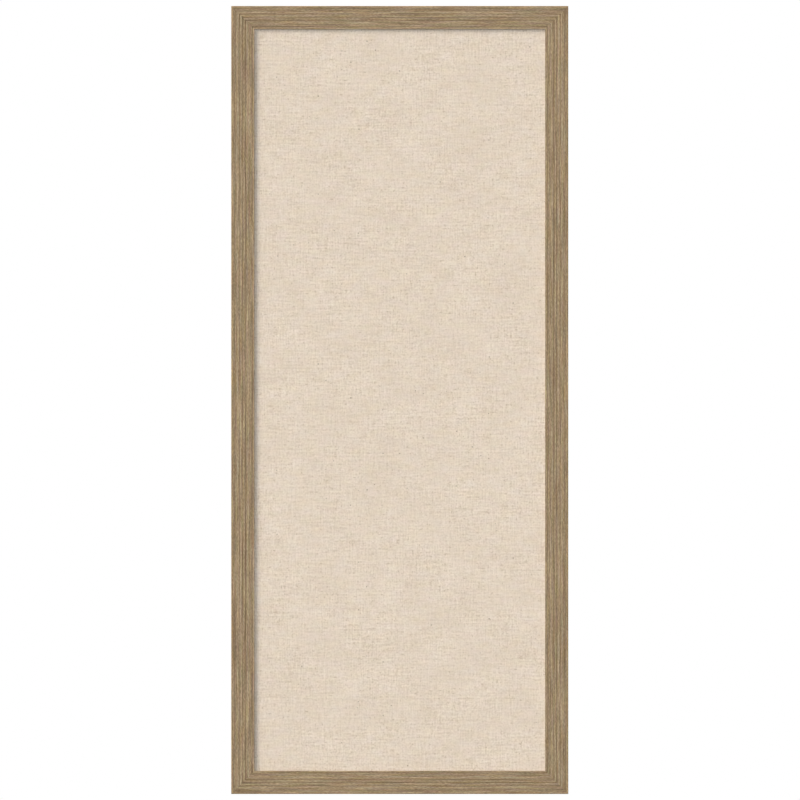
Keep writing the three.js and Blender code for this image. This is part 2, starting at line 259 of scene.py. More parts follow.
def new_finish(slot, name, roughness, metallic=0.0, specular=0.5, sheen=0.0):
    """Starts a slot's material, with its plain numbers on the shader's own sockets."""
    material = finishes[slot] = bpy.data.materials.new(name)
    material.use_nodes = True
    shader = material.node_tree.nodes["Principled BSDF"]
    shader.inputs["Roughness"].default_value = roughness
    shader.inputs["Metallic"].default_value = metallic
    shader.inputs["Specular IOR Level"].default_value = specular
    shader.inputs["Sheen Weight"].default_value = sheen
    print("finish:", name)
    return material.node_tree


def set_surface(tree, colour, roughness, height, depth):
    """Feeds a finish's colour, roughness and relief, whose depth is in metres, to its shader."""
    shader = tree.nodes["Principled BSDF"].inputs
    bump = add(tree, "Bump", {"Height": height, "Distance": depth, "Strength": 1.0})
    plug(tree, shader["Base Color"], colour)
    plug(tree, shader["Roughness"], roughness)
    plug(tree, shader["Normal"], bump.outputs[0])


# %% [markdown]
# ## Noise that is drawn out along a line
#
# Wood grain, brushed metal, slubs in yarn and the blotches of a stain are all one thing: soft
# noise, stretched more or less along one direction. So one group makes it. It divides the place by
# a length along the first axis and by a width across it, and reads plain noise there.

# %% The drawn noise group
drawn_noise, place_in, place_out = new_group(
    "drawn_noise",
    {"Place": "Vector", "Length": "Float", "Width": "Float", "Detail": "Float"},
    {"Value": "Float"},
)
cell = add(
    drawn_noise, "CombineXYZ", {0: place_in["Length"], 1: place_in["Width"], 2: place_in["Width"]}
).outputs[0]
scaled = add(
    drawn_noise, "VectorMath", {0: place_in["Place"], 1: cell}, operation="DIVIDE"
).outputs[0]
soft = add(
    drawn_noise, "TexNoise", {"Vector": scaled, "Scale": 1.0, "Detail": place_in["Detail"]}
).outputs[0]
plug(drawn_noise, place_out["Value"], soft)


def noise(tree, place, length, width, detail=1.0):
    """Drawn noise in a tree, around 0.5; its length and width are in millimetres."""
    return use(
        tree, drawn_noise, Place=place, Length=length * MM, Width=width * MM, Detail=detail
    )[0]


# %% [markdown]
# ## Two drifts of tint
#
# A natural surface drifts in tint as well as in tone, and in two ways that have nothing to do with
# each other: between reddish and greenish, and between yellowish and bluish. This group takes a
# colour and shifts it by two separate noises, as little on linen and as much on stained wood as its
# two amounts say.

# %% The tint group
GREEN_SHARE = -0.28
FAR_ENOUGH = (0.31, 0.17, 0.07)

tint_drift, tint_in, tint_out = new_group(
    "tint_drift",
    {
        "Colour": "Color",
        "Place": "Vector",
        "Length": "Float",
        "Width": "Float",
        "Red": "Float",
        "Yellow": "Float",
    },
    {"Colour": "Color"},
)
here = tint_in["Place"]
elsewhere = add(tint_drift, "VectorMath", {0: here, 1: FAR_ENOUGH}, operation="ADD").outputs[0]
sizes = {"Length": tint_in["Length"], "Width": tint_in["Width"], "Detail": 2.0}
shifts = []
for place, amount in ((here, "Red"), (elsewhere, "Yellow")):
    drift = use(tint_drift, drawn_noise, Place=place, **sizes)[0]
    centred = math_node(tint_drift, "SUBTRACT", drift, 0.5)
    shifts.append(math_node(tint_drift, "MULTIPLY", centred, tint_in[amount]))
factors = [
    weighted(tint_drift, (shift, share), 1.0)
    for shift, share in ((shifts[0], 1.0), (shifts[0], GREEN_SHARE), (shifts[1], -1.0))
]
factors = add(tint_drift, "CombineXYZ", dict(enumerate(factors))).outputs[0]
tinted = add(tint_drift, "VectorMath", {0: tint_in["Colour"], 1: factors}, operation="MULTIPLY")
plug(tint_drift, tint_out["Colour"], tinted.outputs[0])

# %% [markdown]
# ## A plain weave
#
# In a plain weave each yarn passes over one crossing yarn and under the next. Seen from above, the
# height is a chequer of small pillows: on one set of squares the upright yarn lies on top, on the
# others the level one. The same pattern is pressed into the back of hardboard by the wire screen
# that it is made on, so the group serves the linen and the hardboard, each with its own pitch.

# %% The weave group
CROSSING = 0.15
ROUNDNESS = 0.6

weave, weave_in, weave_out = new_group(
    "plain_weave", {"Place": "Vector", "Pitch": "Float"}, {"Height": "Float"}
)
axes = add(weave, "SeparateXYZ", {0: weave_in["Place"]}).outputs
yarns = [math_node(weave, "DIVIDE", axes[axis], weave_in["Pitch"]) for axis in (0, 1)]
waves = [math_node(weave, "SINE", math_node(weave, "MULTIPLY", yarn, math.pi)) for yarn in yarns]
crowns = [math_node(weave, "ABSOLUTE", wave) for wave in waves]
chequer = math_node(weave, "MULTIPLY", *waves)
upright_on_top = rise(weave, chequer, -CROSSING, CROSSING, interpolation_type="SMOOTHSTEP")
pillows = [
    math_node(weave, "MULTIPLY", across, weighted(weave, (along, ROUNDNESS), 1 - ROUNDNESS))
    for across, along in (crowns, crowns[::-1])
]
height = add(weave, "Mix", {0: upright_on_top, 2: pillows[1], 3: pillows[0]}).outputs[0]
plug(weave, weave_out["Height"], height)

# %% [markdown]
# ## Handled metal
#
# Plated steel isn't even: it has fine rolling lines, a slow drift in tone where it was touched, and
# dull spots. The steel nails and points, the nickel hangers and the zinc screws share this group,
# and differ in colour and in how dull they are. It gives out a colour, a roughness and a height.
# The shader stays in each material.

# %% The handled metal group
handled_metal, metal_in, metal_out = new_group(
    "handled_metal",
    {
        "Place": "Vector",
        "Colour": "Color",
        "Tarnish": "Color",
        "Dullness": "Float",
        "Line length": "Float",
        "Line width": "Float",
    },
    {"Colour": "Color", "Roughness": "Float", "Height": "Float"},
)
lines = use(
    handled_metal,
    drawn_noise,
    Place=metal_in["Place"],
    Length=metal_in["Line length"],
    Width=metal_in["Line width"],
    Detail=2.0,
)[0]
blotches = noise(handled_metal, metal_in["Place"], 3, 3, 3.0)
tarnished = ramp(handled_metal, blotches, (0.5, 0.0), (0.8, 0.5))
toned = mix_colours(handled_metal, "MIX", tarnished, metal_in["Colour"], metal_in["Tarnish"])
shine = ramp(handled_metal, lines, (0.3, 0.82), (0.7, 1.0))
lined = mix_colours(handled_metal, "MULTIPLY", 0.5, toned, shine)
dullness = weighted(handled_metal, (lines, 0.16), (blotches, 0.14), -0.15)
dullness = math_node(handled_metal, "ADD", dullness, metal_in["Dullness"])
for label, value in (("Colour", lined), ("Roughness", dullness), ("Height", lines)):
    plug(handled_metal, metal_out[label], value)

# %% [markdown]
# ## A surface from rings
#
# Most pieces of the board are one form: a closed outline that is carried along a path, and changes
# a little on its way. A length of moulding, a bent wire, a screw and a stamped tab are all rows of
# rings. The rings are computed as one array of numbers, the faces between them follow from
# counting, and a cap closes each end. If each ring runs anticlockwise seen from the last ring's
# side, all faces look outwards.

# %% Helpers for meshes
SHARP_EDGE = math.radians(38)


def mesh_object(name, points, quads, caps=()):
    """A mesh object from (n, 3) points, four-cornered faces and many-cornered caps.

    The corners of a face run anticlockwise seen from outside. Faces that meet at less than
    SHARP_EDGE are shaded as one smooth surface.
    """
    sizes = np.array([4] * len(quads) + [len(cap) for cap in caps], np.int32)
    corners = np.concatenate([quads.ravel(), *caps]).astype(np.int32)
    mesh = bpy.data.meshes.new(name)
    mesh.vertices.add(len(points))
    mesh.vertices.foreach_set("co", points.astype(np.float32).ravel())
    mesh.loops.add(len(corners))
    mesh.loops.foreach_set("vertex_index", corners)
    mesh.polygons.add(len(sizes))
    mesh.polygons.foreach_set("loop_start", np.cumsum(sizes) - sizes)
    mesh.update(calc_edges=True)
    mesh.shade_smooth()
    mesh.set_sharp_from_angle(angle=SHARP_EDGE)
    piece = bpy.data.objects.new(name, mesh)
    bpy.context.scene.collection.objects.link(piece)
    return piece


def grid_quads(rows, columns, closed):
    """The faces of a grid counted row by row; closed joins the last column to the first."""
    i, j = np.meshgrid(np.arange(rows - 1), np.arange(columns - (not closed)), indexing="ij")
    k = (j + 1) % columns
    corners = (i * columns + j, i * columns + k, (i + 1) * columns + k, (i + 1) * columns + j)
    return np.stack(corners, axis=-1).reshape(-1, 4)


# %% Helpers for outlines and rings
def beside(steps):
    """Unit vectors at right angles to the steps of a flat line, on their left."""
    left = np.column_stack([-steps[:, 1], steps[:, 0]])
    return left / np.linalg.norm(left, axis=1)[:, None]


def round_trip(outline):
    """For each point of a closed outline, the step from the point before it to the one after."""
    return np.roll(outline, -1, axis=0) - np.roll(outline, 1, axis=0)


def skin(name, rings):
    """A closed surface over rings, an array (rows, corners, 3), with a cap at each end."""
    rows, corners, _ = rings.shape
    caps = [np.arange(corners)[::-1], (rows - 1) * corners + np.arange(corners)]
    return mesh_object(name, rings.reshape(-1, 3), grid_quads(rows, corners, True), caps)


# %% What a piece keeps and stands for
def keep(piece, name, values):
    """Stores a number or a vector for each point of the piece, which its finish can read."""
    flat = np.asarray(values, np.float32).reshape(len(piece.data.vertices), -1)
    vector = flat.shape[1] == 3
    kind, field = ("FLOAT_VECTOR", "vector") if vector else ("FLOAT", "value")
    attribute = piece.data.attributes.new(name, kind, "POINT")
    attribute.data.foreach_set(field, flat.ravel())


CM3 = (10 * MM) ** 3


def size_up(piece):
    """Prints a piece's triangles and the volume that they enclose, by the divergence theorem."""
    final = piece.evaluated_get(bpy.context.evaluated_depsgraph_get()).to_mesh()
    final.calc_loop_triangles()
    points = np.empty(len(final.vertices) * 3)
    final.vertices.foreach_get("co", points)
    triangles = np.empty(len(final.loop_triangles) * 3, np.int32)
    final.loop_triangles.foreach_get("vertices", triangles)
    a, b, c = points.reshape(-1, 3)[triangles.reshape(-1, 3)].transpose(1, 0, 2)
    volume = np.sum(a * np.cross(b, c)) / 6
    print(f"{piece.name}: {len(a)} triangles, {volume / CM3:.3f} cm3")


def fit(piece, node, slot, body="board"):
    """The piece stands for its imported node, moves with a body and takes a slot's finish."""
    piece.data.materials.append(finishes[slot])
    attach(piece, body)
    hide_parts(node)
    size_up(piece)


# %% Noise for shapes
NOISE_CELLS = 128


def soft_noise(x, y, seed):
    """Value noise from 0 to 1: a random number at each whole-number crossing, blended smoothly."""
    cells = NOISE_CELLS
    table = np.random.default_rng(seed).random((cells, cells))
    column, row = np.floor(x).astype(int), np.floor(y).astype(int)
    a, b = x - column, y - row
    a, b = a * a * (3 - 2 * a), b * b * (3 - 2 * b)
    column, next_column = column % cells, (column + 1) % cells
    row, next_row = row % cells, (row + 1) % cells
    near = table[column, row] * (1 - a) + table[next_column, row] * a
    far = table[column, next_row] * (1 - a) + table[next_column, next_row] * a
    return near * (1 - b) + far * b


# %% [markdown]
# ## The moulding
#
# The four sides are lengths of one moulding, cut to 45 degrees. Its section has a rabbet behind for
# the pack, a flat face with five struck grooves and three faint lines between them, and eased
# arrises. A moulder cuts the grooves and a wire brush roughens the soft grain, so both are real
# relief here: the section's points are carried along the side, and the face sinks where a groove or
# a brushed streak runs. The grooves keep one distance from the outer edge, so that they meet at the
# mitres, and they wander and fade a little between them.

# %% The moulding's section
LIP_THICKNESS = 5.5 * MM
LIP_REACH = 7.45 * MM
OUTER_RADIUS = 1.2 * MM
INNER_RADIUS = 0.3 * MM
BACK_CHAMFER = 0.5 * MM
FACE_STEPS = 74


def stretch(start, end, steps):
    """Evenly spaced points from start towards end, without end."""
    share = np.arange(steps)[:, None] / steps
    return np.array(start) + (np.array(end) - np.array(start)) * share


def bend(middle, radius, start, end, steps):
    """Points on an arc round middle, from angle start towards end in degrees, without end."""
    angle = np.radians(start + (end - start) * np.arange(steps) / steps)
    return np.array(middle) + radius * np.column_stack([np.cos(angle), np.sin(angle)])


def moulding_section():
    """The section's points (inwards, forwards), how stained each is, and how brushed.

    It runs along the back, up the rabbet, over the lip, across the face and down the outer side.
    """
    width, depth, chamfer = moulding_width, moulding_depth, BACK_CHAMFER
    wall, shelf = width - LIP_REACH, depth - LIP_THICKNESS
    inner, outer = INNER_RADIUS, OUTER_RADIUS
    parts = [
        (stretch((chamfer, 0), (wall - chamfer, 0), 1), 0, 0),
        (stretch((wall - chamfer, 0), (wall, chamfer), 1), 0, 0),
        (stretch((wall, chamfer), (wall, shelf), 1), 0, 0),
        (stretch((wall, shelf), (width, shelf), 1), 0, 0),
        (stretch((width, shelf), (width, depth - inner), 8), 1, 0.5),
        (bend((width - inner, depth - inner), inner, 0, 90, 6), 1, 0.6),
        (stretch((width - inner, depth), (outer, depth), FACE_STEPS), 1, 1),
        (bend((outer, depth - outer), outer, 90, 180, 7), 1, 0.6),
        (stretch((0, depth - outer), (0, chamfer), 18), 1, 0.7),
        (stretch((0, chamfer), (chamfer, 0), 1), 0.8, 0),
    ]
    counts = [len(points) for points, _, _ in parts]
    values = np.repeat([part[1:] for part in parts], counts, axis=0)
    return np.concatenate([points for points, _, _ in parts]), values[:, 0], values[:, 1]


section, section_stain, section_brush = moulding_section()
print("the section has", len(section), "points")

# %% The grooves in its face
# Middle and width as shares of the moulding's width, depth in millimetres, how much stain settles.
GROOVES = [
    (0.147, 0.27, 0.16, 0.75),
    (0.35, 0.06, 0.26, 1.3),
    (0.497, 0.1, 0.28, 1.05),
    (0.62, 0.12, 0.3, 1.15),
    (0.68, 0.035, 0.12, 0.45),
    (0.77, 0.035, 0.12, 0.45),
    (0.82, 0.14, 0.06, 0.45),
    (0.905, 0.09, 0.28, 1.05),
]
HOLLOW_SHARE = 0.7
FADE_LENGTH = 80 * MM
FADE_SHARE = 0.6
WANDER_LENGTH = 85 * MM
WANDER = 0.25 * MM
MITRE_CALM = 18 * MM
WANDER_ROW, FADE_ROW = 3.7, 5.3


def grooves_at(along, inward, to_mitre, seed):
    """How deep the grooves are here, in metres, and how much stain has settled in them, 0 to 1.

    A groove's hollow is one wave of a cosine across part of its width, and its stain one across
    the whole. Its line wanders and its depth comes and goes with soft noise along the side, of
    which each groove reads a row of its own, and both calm down towards the mitre.
    """
    calm = np.clip(to_mitre / MITRE_CALM, 0, 1)
    depth = np.zeros_like(inward)
    stain = np.zeros_like(inward)
    for number, (middle, width, deep, tone) in enumerate(GROOVES):
        sway = soft_noise(along / WANDER_LENGTH, WANDER_ROW * number, seed) - 0.5
        off = inward - middle * moulding_width - WANDER * calm * sway
        half = width * moulding_width / 2
        hollow, shade = (
            (1 + np.cos(math.pi * np.clip(off / half / share, -1, 1))) / 2
            for share in (HOLLOW_SHARE, 1)
        )
        fade = soft_noise(along / FADE_LENGTH, FADE_ROW * number, seed + 1)
        strength = 1 - calm * FADE_SHARE * (1 - fade)
        depth += deep * MM * hollow * strength
        stain += tone * shade * strength
    return depth, stain


# %% Carrying the section along a side
ROW_STEP = 2.6 * MM
MITRE_GAP = 0.07 * MM
BRUSH_DEPTH = 0.05 * MM
FINE_STREAK, FINE_SHARE = np.array([14, 0.8]) * MM, 0.6
BROAD_STREAK = np.array([45, 1.9]) * MM
GRAIN_SHIFT = 1.7
BACKWARDS = np.array([0.0, 1.0, 0.0])


def directions(quarter):
    """Along a side and inwards from it: the bottom rail's, turned anticlockwise by quarters."""
    cosine = round(math.cos(quarter * math.pi / 2))
    sine = round(math.sin(quarter * math.pi / 2))
    return np.array([cosine, 0, sine]), np.array([-sine, 0, cosine])


def side_places(quarter, middle, half, along, inward, back):
    """Places in space from a side's own measures.

    The side belongs to the box with that middle and half size. along and inward are measured from
    the middle of the box's edge on that side, and back is the depth.
    """
    step, inside = directions(quarter)
    edge = (middle - inside * half) * (1, 0, 1)
    along, inward, back = (measure[..., None] for measure in (along, inward, back))
    return edge + along * step + inward * inside + back * BACKWARDS


# %% One side of the frame
def moulding_side(name, quarter):
    """One side of the frame: the section carried along it, each point to its own mitred length."""
    half_length = abs(directions(quarter)[0] @ frame_half)
    rows = round(2 * half_length / ROW_STEP)
    outward = -beside(round_trip(section))
    walked = np.cumsum(np.linalg.norm(section - np.roll(section, 1, axis=0), axis=1))

    share = np.linspace(-1, 1, rows)[:, None]
    along = share * (half_length - section[:, 0])
    inward = np.broadcast_to(section[:, 0], along.shape)
    to_mitre = half_length - section[:, 0] - abs(along)
    seed = 10 * quarter
    depth, stain = grooves_at(along, inward, to_mitre, seed)
    fine = soft_noise(along / FINE_STREAK[0], walked / FINE_STREAK[1], seed + 2)
    broad = soft_noise(along / BROAD_STREAK[0], walked / BROAD_STREAK[1], seed + 3)
    brushed = section_brush * BRUSH_DEPTH * (FINE_SHARE * fine + (1 - FINE_SHARE) * broad)
    on_face = (section_brush == 1) * 1.0
    sunk = depth * on_face + brushed

    inward = inward - sunk * outward[:, 0]
    forward = section[:, 1] - sunk * outward[:, 1]
    along = share * (half_length - inward - MITRE_GAP)
    places = side_places(quarter, frame_middle, frame_half, along, inward, frame_back - forward)
    piece = skin(name + "_moulding", places)
    keep(piece, "grain_place", np.stack([along + quarter * GRAIN_SHIFT, inward, forward], axis=-1))
    keep(piece, "settled_stain", stain * on_face)
    keep(piece, "stained", np.broadcast_to(section_stain, along.shape))
    return piece


# %% [markdown]
# ## The wood's finish
#
# The face was brushed, stained a grey brown and wiped: the stain stays dark in the grooves and in
# the soft streaks, and rubs off the crests and the outer arris, where a warmer, golden tone shows.
# All the streaks run along the side, so the finish reads the place in the moulding's own measures,
# which the mesh keeps as an attribute. The back and the rabbet are bare wood, with a ragged edge
# where the stain ran round.

# %% Frame wood
RUBBED_ARRIS = (0.6 * MM, 2.6 * MM)
RUBBED_TINT = (1.05, 0.94, 0.72)

tree = new_finish("frame_wood", "greige_stained_wood", roughness=0.62, specular=0.3)
place = kept(tree, "grain_place", "Vector")
settled = kept(tree, "settled_stain")
inward = add(tree, "SeparateXYZ", {0: place}).outputs[1]

fine = noise(tree, place, 34, 0.5, 2.0)
middling = noise(tree, place, 60, 0.75, 0.0)
short = noise(tree, place, 4, 0.55)
broad = noise(tree, place, 90, 9)
pores = noise(tree, place, 4, 0.22)
pore = ramp(tree, pores, (0.62, 0.0), (0.72, 1.0))
tone = weighted(
    tree,
    (fine, 1.25),
    (middling, 0.63),
    (short, 1.15),
    (broad, 0.27),
    (settled, -0.36),
    (pore, -0.12),
    -1.074,
)
stain_colour = ramp(
    tree,
    tone,
    (0.0, (0.14, 0.0905, 0.047)),
    (0.5, (0.2775, 0.196, 0.109)),
    (1.0, (0.53, 0.404, 0.238)),
)
drift = {"Place": place, "Length": 30 * MM, "Width": 2.6 * MM, "Red": 0.3, "Yellow": 0.7}
stain_colour = use(tree, tint_drift, Colour=stain_colour, **drift)[0]
arris = rise(tree, inward, *RUBBED_ARRIS, low=0.85, high=0.0)
stain_colour = mix_colours(tree, "MULTIPLY", arris, stain_colour, RUBBED_TINT)

growth = noise(tree, place, 160, 2.6, 3.0)
bare_colour = ramp(
    tree,
    weighted(tree, (growth, 0.9), (fine, 0.35), (pore, -0.15), -0.12),
    (0.25, (0.35, 0.212, 0.1)),
    (0.5, (0.53, 0.375, 0.215)),
    (0.75, (0.66, 0.505, 0.32)),
)
ragged = noise(tree, place, 9, 2.5, 3.0)
covered = weighted(tree, (kept(tree, "stained"), 1.0), (ragged, 0.9), -0.45)
covered = rise(tree, covered, 0.4, 0.6)
colour = mix_colours(tree, "MIX", covered, bare_colour, stain_colour)
height = weighted(tree, (fine, 0.6), (pores, -0.4), (middling, 0.3))
roughness = weighted(tree, (fine, -0.15), (settled, 0.1), 0.68)
set_surface(tree, colour, roughness, height, depth=0.05 * MM)

# %% The four sides
for quarter, name in enumerate(SIDES):
    fit(moulding_side(name, quarter), name, "frame_wood")

# %% [markdown]
# ## The linen
#
# One cloth is laid over the cork, drawn round its edges and glued down behind, with the corners cut
# so that the turnings meet in a mitre. Because it is stretched flat, it needs no simulation: it is
# a flat grid in front and four bands that follow the same path round the edge, welded together.
# Each point keeps its place on the flat cloth, so that the weave follows the cloth round the edge.
# Solidify then gives the sheet its thickness, inwards, and the cork stays clear of it.

# %% The path round the panel's edge
panel_low, panel_high, panel_middle = box_of("linen_cover")
panel_half = (panel_high - panel_low) / 2
CLOTH_THICKNESS = 0.6 * MM
CLOTH_STEP = 4.2 * MM
EDGE_RADIUS = 0.9 * MM
TURNING = 25 * MM
SLIT = 0.75 * MM
SLIT_START = 0.3
CLOTH_WAVES = (23 * MM, 31 * MM)
CLOTH_UNEVENNESS = 0.05 * MM
CLOTH_SEED = 70


def edge_path():
    """The path's points (inset from the panel's side, depth behind its front), front to back."""
    depth, r = panel_high[1] - panel_low[1], EDGE_RADIUS
    parts = [
        bend((r, r), r, 270, 180, 5),
        stretch((0, r), (0, depth - r), 3),
        bend((r, depth - r), r, 180, 90, 5),
        stretch((r, depth), (TURNING, depth), 8),
        np.array([(TURNING, depth)]),
    ]
    return np.concatenate(parts)


path = edge_path()
path_walked = np.concatenate([[0], np.cumsum(np.linalg.norm(np.diff(path, axis=0), axis=1))])


# %% The cloth's grids
MICROMETRE = 0.001 * MM


def front_grid(columns, rows):
    """The cloth's front: places in space and on the flat cloth, with a slow unevenness inwards."""
    x = np.linspace(-1, 1, columns) * (panel_half[0] - EDGE_RADIUS)
    z = np.linspace(-1, 1, rows) * (panel_half[2] - EDGE_RADIUS)
    x, z = np.meshgrid(x, z)
    wave_x, wave_z = CLOTH_WAVES
    uneven = soft_noise(x / wave_x, z / wave_z, CLOTH_SEED) * CLOTH_UNEVENNESS
    places = np.stack([x, uneven, z], axis=-1) + (panel_middle[0], panel_low[1], panel_middle[2])
    return places, np.stack([x, z, 0 * x], axis=-1)


def edge_grid(quarter, columns):
    """A band along one side: the path carried along it. Its ends are mitred, with a slit behind."""
    step, inside = directions(quarter)
    inset, depth = path[:, None, 0], path[:, None, 1]
    slit = SLIT * np.clip(path_walked / TURNING - SLIT_START, 0, 1)[:, None]
    along = np.linspace(-1, 1, columns) * (abs(step @ panel_half) - inset - slit)
    places = side_places(quarter, panel_middle, panel_half, along, inset, panel_low[1] + depth)
    reach = (abs(inside @ panel_half) - EDGE_RADIUS + path_walked)[:, None]
    flat = along[..., None] * step - (reach + 0 * along)[..., None] * inside
    return places, flat[..., [0, 2, 1]]


# %% One sheet from five grids
def weld(places, flat, quads):
    """Joins points that lie in one place, to the micrometre, and renumbers the faces."""
    keys = np.round(places / MICROMETRE).astype(np.int64)
    _, first, renumber = np.unique(keys, axis=0, return_index=True, return_inverse=True)
    return places[first], flat[first], renumber.ravel()[quads]


def linen_cloth():
    """The front and its four bands as one sheet with its thickness inwards, and its flat area."""
    columns, rows = np.round(2 * panel_half[[0, 2]] / CLOTH_STEP).astype(int) + 1
    grids = [front_grid(columns, rows)]
    grids += [edge_grid(quarter, (columns, rows)[quarter % 2]) for quarter in range(4)]
    parts, start = [], 0
    for number, (points, flat) in enumerate(grids):
        faces = grid_quads(*points.shape[:2], False) + start
        faces = faces[:, ::-1] if number else faces
        parts.append((points.reshape(-1, 3), flat.reshape(-1, 3), faces))
        start += len(parts[-1][0])
    points, flat, faces = weld(*(np.concatenate(part) for part in zip(*parts)))
    cloth = mesh_object("linen_cloth", points, faces)
    keep(cloth, "cloth_place", flat)
    areas = np.empty(len(faces))
    cloth.data.polygons.foreach_get("area", areas)
    thickness = cloth.modifiers.new("thickness", "SOLIDIFY")
    thickness.thickness = CLOTH_THICKNESS
    thickness.offset = -1
    return cloth, float(areas.sum())


# %% [markdown]
# ## The linen's finish
#
# Natural linen is pale and uneven: each yarn has its own tone and swells into slubs along its
# length, loose fibres stand up as fuzz, and bits of the plant's husk stay in it as small brown
# flecks. From a step away the weave melts into a fine, slightly level-lying grain, and close up
# each yarn shows. So the colour has slubs and darker knots along both directions and fuzz between
# them, busier in some patches than in others, and scattered flecks over them. The weave is the
# relief.

# %% Linen
YARN_PITCH = 0.56 * MM
FLECK_SPACING = 11 * MM
FLECK_COLOUR = (0.34, 0.265, 0.19)

tree = new_finish("linen", "natural_linen", roughness=0.9, specular=0.15, sheen=0.12)
place = kept(tree, "cloth_place", "Vector")
crosswise = turned(tree, place, 90, "Z")
slubs = noise(tree, place, 26, 2.6, 0.0), noise(tree, crosswise, 20, 1.8, 0.0)
fuzz = noise(tree, place, 2.4, 2.5, 0.0)
knots = noise(tree, place, 6.4, 2.2), noise(tree, crosswise, 4.4, 2.3)
thick = [ramp(tree, knot, (0.68, 0.0), (0.81, 1.0)) for knot in knots]
clouds = noise(tree, place, 60, 45)
woven = use(tree, weave, Place=place, Pitch=YARN_PITCH)[0]
marks = weighted(
    tree,
    (slubs[0], 0.31),
    (slubs[1], 0.31),
    (fuzz, 0.42),
    (knots[0], -0.28),
    (knots[1], -0.26),
    (thick[0], -0.62),
    (thick[1], -0.62),
    -0.225,
)
busyness = weighted(tree, (noise(tree, place, 70, 56, 3.0), 1.6), 0.2)
marks = math_node(tree, "MULTIPLY", marks, busyness)
cloth_colour = ramp(
    tree,
    weighted(tree, (marks, 1.0), (clouds, 0.2), (woven, 0.12), 0.254),
    (0.0, (0.56, 0.448, 0.336)),
    (0.5, (0.76, 0.652, 0.5355)),
    (1.0, (0.927, 0.827, 0.708)),
)
drift = {"Place": place, "Length": 20 * MM, "Width": 12 * MM, "Red": 0.06, "Yellow": 0.155}
cloth_colour = use(tree, tint_drift, Colour=cloth_colour, **drift)[0]
cells = add(tree, "TexVoronoi", {"Vector": place, "Scale": 1 / FLECK_SPACING}).outputs
fleck_size = add(tree, "SeparateColor", {0: cells["Color"]}).outputs[0]
fleck_reach = ramp(tree, fleck_size, (0.5, 0.0), (0.55, 0.04), (1.0, 0.115))
fleck = math_node(tree, "SUBTRACT", fleck_reach, cells["Distance"])
fleck = rise(tree, fleck, 0.0, 0.05, high=0.85)
cloth_colour = mix_colours(tree, "MIX", fleck, cloth_colour, FLECK_COLOUR)
height = weighted(tree, (woven, 0.8), (slubs[0], 0.15), (slubs[1], 0.15))
roughness = weighted(tree, (woven, -0.08), 0.93)
set_surface(tree, cloth_colour, roughness, height, depth=0.05 * MM)

# %% The cloth in its place
cloth, area = linen_cloth()
fit(cloth, "linen_cover", "linen")
print("the cloth's area, m2:", round(area, 4))

# %% [markdown]
# ## Cork and hardboard
#
# Cork sheet is pressed from granules of many browns, with a dark skin round each. It lies wholly
# inside the cloth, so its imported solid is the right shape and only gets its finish. Hardboard is
# pressed wet on a wire screen, which leaves a fine woven pattern on its back. That back is the
# largest surface seen from behind. Its piece is a thin plate with sawn, slightly eased edges.

# %% Cork
GRANULE = 2.2 * MM

tree = new_finish("cork", "pressed_cork", roughness=0.85, specular=0.2)
spacing = {"Vector": object_place(tree), "Scale": 1 / GRANULE}
granules = add(tree, "TexVoronoi", spacing).outputs["Color"]
to_skin = add(tree, "TexVoronoi", spacing, feature="DISTANCE_TO_EDGE").outputs[0]
browns = ramp(
    tree,
    add(tree, "SeparateColor", {0: granules}).outputs[0],
    (0.0, (0.2, 0.09, 0.035)),
    (0.35, (0.45, 0.235, 0.1)),
    (1.0, (0.62, 0.36, 0.17)),
)
colour = mix_colours(tree, "MULTIPLY", 1.0, browns, ramp(tree, to_skin, (0.0, 0.55), (0.09, 1.0)))
set_surface(tree, colour, weighted(tree, (to_skin, -0.3), 0.9), to_skin, depth=0.3 * MM)
cork_materials = frame["nodes"]["cork_sheet"].data.materials
cork_materials.clear()
cork_materials.append(finishes["cork"])

# %% Hardboard
SCREEN_PITCH = 1.45 * MM

tree = new_finish("hardboard", "screened_hardboard", roughness=0.7, specular=0.35)
place = turned(tree, object_place(tree), -90, "X")
screen = use(tree, weave, Place=place, Pitch=SCREEN_PITCH)[0]
fibres = noise(tree, place, 2.4, 0.35, 3.0)
patches = noise(tree, place, 75, 45, 2.0)
specks = noise(tree, place, 1.2, 1.2, 2.0)
board_colour = ramp(
    tree,
    weighted(tree, (screen, 0.22), (fibres, 0.6), (patches, 0.15), (specks, 0.5), -0.3),
    (0.2, (0.085, 0.038, 0.015)),
    (0.5, (0.185, 0.092, 0.041)),
    (0.85, (0.32, 0.18, 0.09)),
)
height = weighted(tree, (screen, -0.7), (fibres, 0.25))
roughness = weighted(tree, (patches, -0.25), (fibres, 0.15), 0.72)
set_surface(tree, board_colour, roughness, height, depth=0.25 * MM)

# %% [markdown]
# ## Stamped and sawn plates
#
# The backing board, the V-nails and the retaining points are plates: an outline, carried through
# the thickness, with eased edges. One function makes them. It moves each point of the outline
# inwards by the ring's inset, along the outline's own normal.

# %% Plates from an outline
def anticlockwise(outline):
    """The outline in anticlockwise order, told by the sign of its area (the shoelace sum)."""
    x, y = outline.T
    area = np.sum(x * np.roll(y, -1) - np.roll(x, -1) * y)
    return outline if area > 0 else outline[::-1]


def plate_rings(outline, levels):
    """Rings (levels, corners, 3) of an outline; each level is (inset, height)."""
    outline = anticlockwise(outline)
    flat = outline + levels[:, 0, None, None] * beside(round_trip(outline))
    heights = np.broadcast_to(levels[:, 1, None, None], (*flat.shape[:2], 1))
    return np.concatenate([flat, heights], axis=-1)


